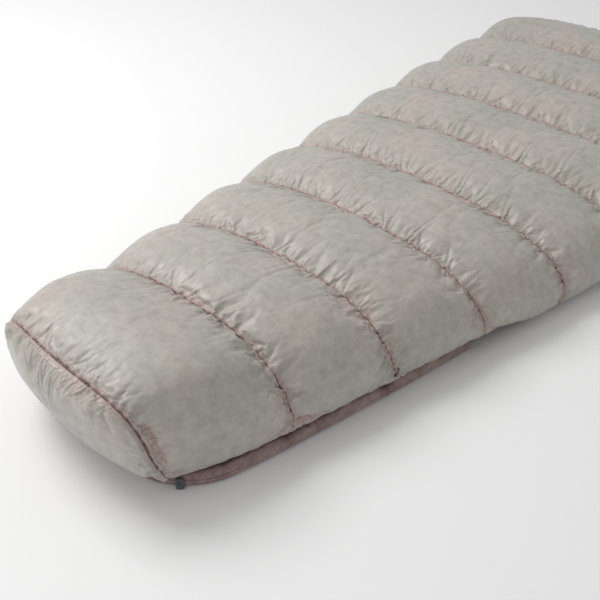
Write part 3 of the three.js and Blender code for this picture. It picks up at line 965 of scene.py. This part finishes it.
def makeEndPanel():
    # a square grid drawn in to a disc and carried out to the outline; it domes as the root of 1 - ring^2
    e = endPanel
    line = np.sin(np.linspace(-1, 1, e["cells"]) * 0.36 * np.pi) / np.sin(0.36 * np.pi)
    u, v = np.meshgrid(line, line)
    side, rise = u * np.sqrt(1 - v ** 2 / 2), v * np.sqrt(1 - u ** 2 / 2)
    ring = np.minimum(np.hypot(side, rise), 1)
    turn = np.arctan2(side, rise)
    reach, middle = endOutline(turn)
    x, z = reach * np.sin(turn) * ring, middle + reach * np.cos(turn) * ring
    dome = np.sqrt(1 - ring ** 2)
    away, run = (1 - ring) * reach, reach * turn
    gathered = e["pleats"] * pleats(run, away, 7000) + e["folds"] * folds(run, away, 7050)
    gathered += e["creases"] * creases(run, away, 7070)
    swell = 0.0018 * patches(x / 0.06, z / 0.05, 60) * dome
    out = e["rim"] * (0.3 + 0.6 * dome) + e["bulge"] * dome ** e["fullness"] + gathered + swell
    seamPlane = toeY + toeSetBack(x, z)
    outer = np.stack([x, seamPlane - out, z], -1)
    outer = refined(inflated(outer, mix(1, 0.4, ease(away, 0.015, 0.05))))
    thick = 0.004 + (e["rim"] + e["loft"]) * dome
    inner = refined(np.stack([x, seamPlane - out + thick, z], -1))
    away, run = np.moveaxis(refined(np.stack([away, run], -1)), -1, 0)
    away = np.maximum(away, 0)
    outer += normalsOf(outer) * (e["pleats"] * pleats(run, away, 7000))[..., None]
    upper, lower, walls = slabQuads(*outer.shape[:2])
    kinds = np.repeat([0, 1, 1], [len(upper), len(lower), len(walls)])
    tint = 0.5 * np.exp(-(away / 0.0022) ** 1.5) + 0.10 * np.exp(-away / 0.02)
    cloth = np.stack([outer[..., 0] + 5, outer[..., 2], 0 * away], -1).reshape(-1, 3)
    piece = makePiece("end_panel", np.concatenate([outer.reshape(-1, 3), inner.reshape(-1, 3)]),
                      np.concatenate([upper, lower, walls]), [shellCloth, liningCloth], kinds,
                      np.concatenate([tint.ravel()] * 2), np.concatenate([cloth] * 2))
    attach(piece, "foot_section")
    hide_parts("end_panel_shell", "end_panel_fill", "end_panel_lining")


makeEndPanel()
print("end panel made")


base = {
    "corner": 0.090,
    "frontRecess": 0.002,
    "sideRecess": 0.005,
    "drawnIn": 0.016,          # how much narrower it ends than the cloth above
    "edge": 0.022,
    "loft": 0.004,
    "rows": 230,
    "columns": 300,
    "stitches": (0.0075, 0.0150),   # heights of the two stitched lines round the toe
    "stitched": 0.10,          # how far they run back from it
}


def baseFront():
    return toeSetBack(0, form["footHem"]) - base["frontRecess"]


def baseHalfWidth(along):
    b = base
    side = archAt(along)["halfWidth"] + form["skinOut"] - b["sideRecess"]
    side = side - b["drawnIn"] * np.clip(along / seams[form["footBoxChambers"]], 0, 1) ** 2
    ahead = np.clip(along - baseFront(), 0, b["corner"])
    return side - b["corner"] + np.sqrt(b["corner"] ** 2 - (b["corner"] - ahead) ** 2)


def makeBase():
    # two sheets that meet in a round rolled edge, drawn in at its cross seams
    b = base
    front, back = baseFront(), seams[form["footBoxChambers"]] - 0.0005
    t = np.linspace(0, 1, b["rows"])[:, None]
    across = np.sin(np.linspace(-np.pi / 2, np.pi / 2, b["columns"]))[None] + 0 * t
    along = front + (back - front) * (t - 0.9 * np.sin(2 * np.pi * t) / (2 * np.pi)) + 0 * across
    half = baseHalfWidth(along)
    x = across * half
    fromEdge = np.minimum((1 - np.abs(across)) * half, np.minimum(along - front, back - along))
    roll = np.sqrt(np.clip(1 - (1 - np.clip(fromEdge / (b["edge"] / 2), 0, 1)) ** 2, 0, 1))
    valley = sum(np.exp(-np.abs(along - seams[k]) / 0.012) for k in range(1, form["footBoxChambers"]))
    middle = b["edge"] / 2
    run = np.abs(x) + along
    swell = 0.0016 * patches(x / 0.03, along / 0.03, 71) + 0.0012 * patches(x / 0.012, along / 0.012, 72)
    pucker = 0.6 * pleats(run, fromEdge, 7300) + 0.5 * folds(run, fromEdge, 7350)
    top = middle + middle * roll + (b["loft"] + swell - 0.006 * valley + pucker) * roll
    low = middle - middle * roll + 0.0006
    y = toeY + along - form["toeSkew"] * x * toeShare(along)
    upper = np.stack([x, y, top], -1)
    under = np.stack([x, y, np.minimum(low, top - 0.0002)], -1)
    heights = np.concatenate([upper, under])[..., 2]
    atToe = np.concatenate([along] * 2) < front + b["stitched"]
    tint = np.concatenate([0.6 * valley] * 2)
    for height in b["stitches"]:
        tint = np.maximum(tint, 0.9 * np.exp(-((heights - height) / 0.0010) ** 2) * atToe)
    cloth = np.concatenate([np.stack([x + 9, along, g[..., 2]], -1) for g in (upper, under)]).reshape(-1, 3)
    piece = makePiece("base_panel", np.concatenate([upper.reshape(-1, 3), under.reshape(-1, 3)]),
                      np.concatenate(slabQuads(*x.shape)), [liningCloth], tint=tint.ravel(), cloth=cloth)
    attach(piece, "foot_section")
    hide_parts("base_shell", "base_fill", "base_lining")


makeBase()
print("base made")


tab = {
    "thick": 0.0010,
    "fold": 0.0013,            # radius of the fold at its lower end
    "steps": 14,
    "columns": 24,
}


def makeTab(word, side):
    # a doubled length of ribbed tape: down the inner face, round a fold at the bottom, up the outer face
    t = tab
    low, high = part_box(f"corner_tab_{word}")
    outward = Vector((side * math.sqrt(0.5), -math.sqrt(0.5), 0))
    sideways = Vector((math.sqrt(0.5), side * math.sqrt(0.5), 0))
    middle = (low + high) / 2
    half = (high.x - low.x + high.y - low.y) / 2 * math.sqrt(0.5) - t["fold"]
    bend = np.linspace(0, np.pi, t["steps"])
    run = np.linspace(high.z + 0.001, low.z - 0.002, t["steps"])
    out = np.concatenate([np.full_like(run, -1.0), -np.cos(bend)[1:-1], np.full_like(run, 1.0)])
    deep = np.concatenate([run, run[-1] - t["fold"] * np.sin(bend)[1:-1], run[::-1]])
    across = np.linspace(-half, half, t["columns"])
    ridge = 0.00012 * np.cos(2 * np.pi * across / 0.0016)
    faces = []
    for skin in (0.5, -0.5):
        reach = (t["fold"] * 0.6 + skin * t["thick"] + ridge[None]) * out[:, None]
        drop = deep[:, None] - np.where(np.abs(out) < 1, skin * t["thick"], 0)[:, None]
        faces.append(np.array(middle)[None, None] * (1, 1, 0) + np.array(outward) * reach[..., None]
                     + np.array(sideways) * across[None, :, None] + np.array((0, 0, 1)) * drop[..., None])
    run, wide = np.meshgrid(np.cumsum(np.full(len(out), 0.001)), across, indexing="ij")
    cloth = np.stack([wide, run, 0 * run], -1).reshape(-1, 3)
    piece = makePiece(f"corner_tape_{word}", np.concatenate([face.reshape(-1, 3) for face in faces]),
                      np.concatenate(slabQuads(*faces[0].shape[:2])), [ribbedTape],
                      cloth=np.concatenate([cloth] * 2))
    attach(piece, f"corner_tab_{word}")
    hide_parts(f"corner_tab_{word}")


for word, side in (("left", -1), ("right", 1)):
    makeTab(word, side)
print("tabs made")


neck = {
    "half": 0.0022,            # half thickness of the hem channel
    "cord": 0.0012,            # how much it swells in its middle
    "lowest": -0.0032,         # the ruffles end at these
    "highest": 0.0038,
    "columns": 700,
    "ring": 24,
}


def makeNeckBinding():
    # the hem channel at the neck: a rounded flat section carried over the arch, gathered by small ruffles
    n = neck
    low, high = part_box("neck_binding")
    even, place = evenAcross(n["columns"], quiltLength)
    turn = np.linspace(0, 2 * np.pi, n["ring"], endpoint=False)
    cos, sin = np.cos(turn)[None], np.sin(turn)[None]
    ruffle = 0.45 * pleats(place, 0 * place, 990)[:, None]
    y = (low.y + high.y) / 2 + (high.y - low.y) / 2 * np.sign(cos) * np.abs(cos) ** 0.7
    channel = (n["half"] + n["cord"] * np.abs(sin) ** 3) * np.sign(sin) * np.abs(sin) ** 0.6
    lift = np.clip(channel + ruffle * np.abs(cos) ** 0.5, n["lowest"], n["highest"])
    x, z = archPoint(even, np.full_like(even, quiltLength))
    tx, tz = archTangent(even, np.full_like(even, quiltLength))
    points = np.stack([x[:, None] - tz[:, None] * lift, y + 0 * lift, z[:, None] + tx[:, None] * lift], -1)
    points[..., 2] = np.maximum(points[..., 2], 0.0003)
    stitch = np.exp(-((y - low.y - 0.0022) / 0.0006) ** 2) + 0 * lift
    cloth = np.stack([place[:, None] + 0 * lift, y + 0 * lift, 0 * lift + 0.6], -1)
    piece = makePiece("neck_hem", points, tubeQuads(n["columns"], n["ring"]), [hemCloth],
                      tint=stitch.ravel(), cloth=cloth.reshape(-1, 3))
    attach(piece, "head_section")
    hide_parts("neck_binding")


def turned(name, node, profile, closed):
    # a turned piece: (radius, height) pairs carried round the arch's normal at the replaced node's middle
    low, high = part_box(node)
    middle = np.array((low + high) / 2)
    tries = np.linspace(-1, 1, 4001)
    x, z = archPoint(tries, np.full_like(tries, quiltLength))
    best = int(np.argmin(np.hypot(x - middle[0], z - middle[2])))
    tx, tz = archTangent(tries[best], quiltLength)
    normal, aside, ahead = np.array([-tz, 0, tx]), np.array([tx, 0, tz]), np.array([0.0, 1.0, 0.0])
    turn = np.linspace(0, 2 * np.pi, 48, endpoint=False)
    ring = np.cos(turn)[:, None] * aside + np.sin(turn)[:, None] * ahead
    points = middle + np.array([r * ring + h * normal for r, h in profile])
    piece = makePiece(name, points, tubeQuads(len(profile), len(turn), closed), [plastic])
    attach(piece, "head_section")
    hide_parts(node)


def arc(middle, height, radius, start, stop, steps):
    # (radius, height) pairs round an arc, in degrees
    turn = np.radians(np.linspace(start, stop, steps))
    return [(middle + radius * math.cos(a), height + radius * math.sin(a)) for a in turn]


makeNeckBinding()
for word in ("left", "right"):
    turned(f"drawcord_eyelet_{word}", f"neck_eyelet_{word}", arc(0.0033, 0, 0.0011, 0, 330, 12), True)
studProfile = [(0.0052, -0.0012), *arc(0.0048, 0, 0.0008, -60, 60, 8),
               (0.0030, 0.0009), (0.0026, 0.0016), (0.0018, 0.0021), (0.0006, 0.0022)]
socketProfile = [(0.0052, -0.0012), *arc(0.0048, 0, 0.0009, -60, 80, 8),
                 (0.0034, 0.0012), (0.0028, 0.0004), (0.0006, 0.0003)]
turned("press_stud", "neck_snap_stud", studProfile, False)
turned("press_socket", "neck_snap_socket", socketProfile, False)
print("neck made")


stand = {
    "azimuth": 43.0,
    "elevation": 35.05,
    "distance": 1.848,
    "target": (0.0715, 0.1907, 0.104),   # y is counted from the first cross seam
    "lens": 67.5,
    "sky": 0.5,
}


def makeStage():
    bpy.ops.mesh.primitive_plane_add(size=40, location=(0, 0, 0))
    floor = bpy.context.object
    floor.name = "floor"
    material, _, shader = newMaterial("paleFloor")
    shader.inputs["Base Color"].default_value = grey(0.88)
    shader.inputs["Roughness"].default_value = 0.9
    floor.data.materials.append(material)
    world = bpy.data.worlds.new("studio")
    bpy.context.scene.world = world
    world.use_nodes = True
    world.node_tree.nodes["Background"].inputs["Color"].default_value = grey(1)
    world.node_tree.nodes["Background"].inputs["Strength"].default_value = stand["sky"]


def addLight(name, place, aim, size, power):
    lamp = bpy.data.lights.new(name, "AREA")
    lamp.size, lamp.energy = size, power
    made = bpy.data.objects.new(name, lamp)
    bpy.context.scene.collection.objects.link(made)
    made.location = place
    made.rotation_mode = "QUATERNION"
    made.rotation_quaternion = (Vector(aim) - Vector(place)).to_track_quat("-Z", "Y")


def makeCamera():
    a, e = math.radians(stand["azimuth"]), math.radians(stand["elevation"])
    back = Vector((math.sin(a) * math.cos(e), -math.cos(a) * math.cos(e), math.sin(e)))
    data = bpy.data.cameras.new("camera")
    data.lens, data.sensor_width = stand["lens"], 36
    made = bpy.data.objects.new("camera", data)
    bpy.context.scene.collection.objects.link(made)
    made.location = Vector(stand["target"]) + Vector((0, seamY[1], 0)) + back * stand["distance"]
    made.rotation_mode = "QUATERNION"
    made.rotation_quaternion = (-back).to_track_quat("-Z", "Y")
    bpy.context.scene.camera = made


makeStage()
addLight("key", (-1.7, -0.9, 2.4), (0, -0.3, 0.1), 1.6, 56)
addLight("fill", (-0.3, -2.9, 1.3), (0, -0.6, 0.1), 2.0, 9)
makeCamera()
bpy.context.scene.view_settings.view_transform = "Standard"
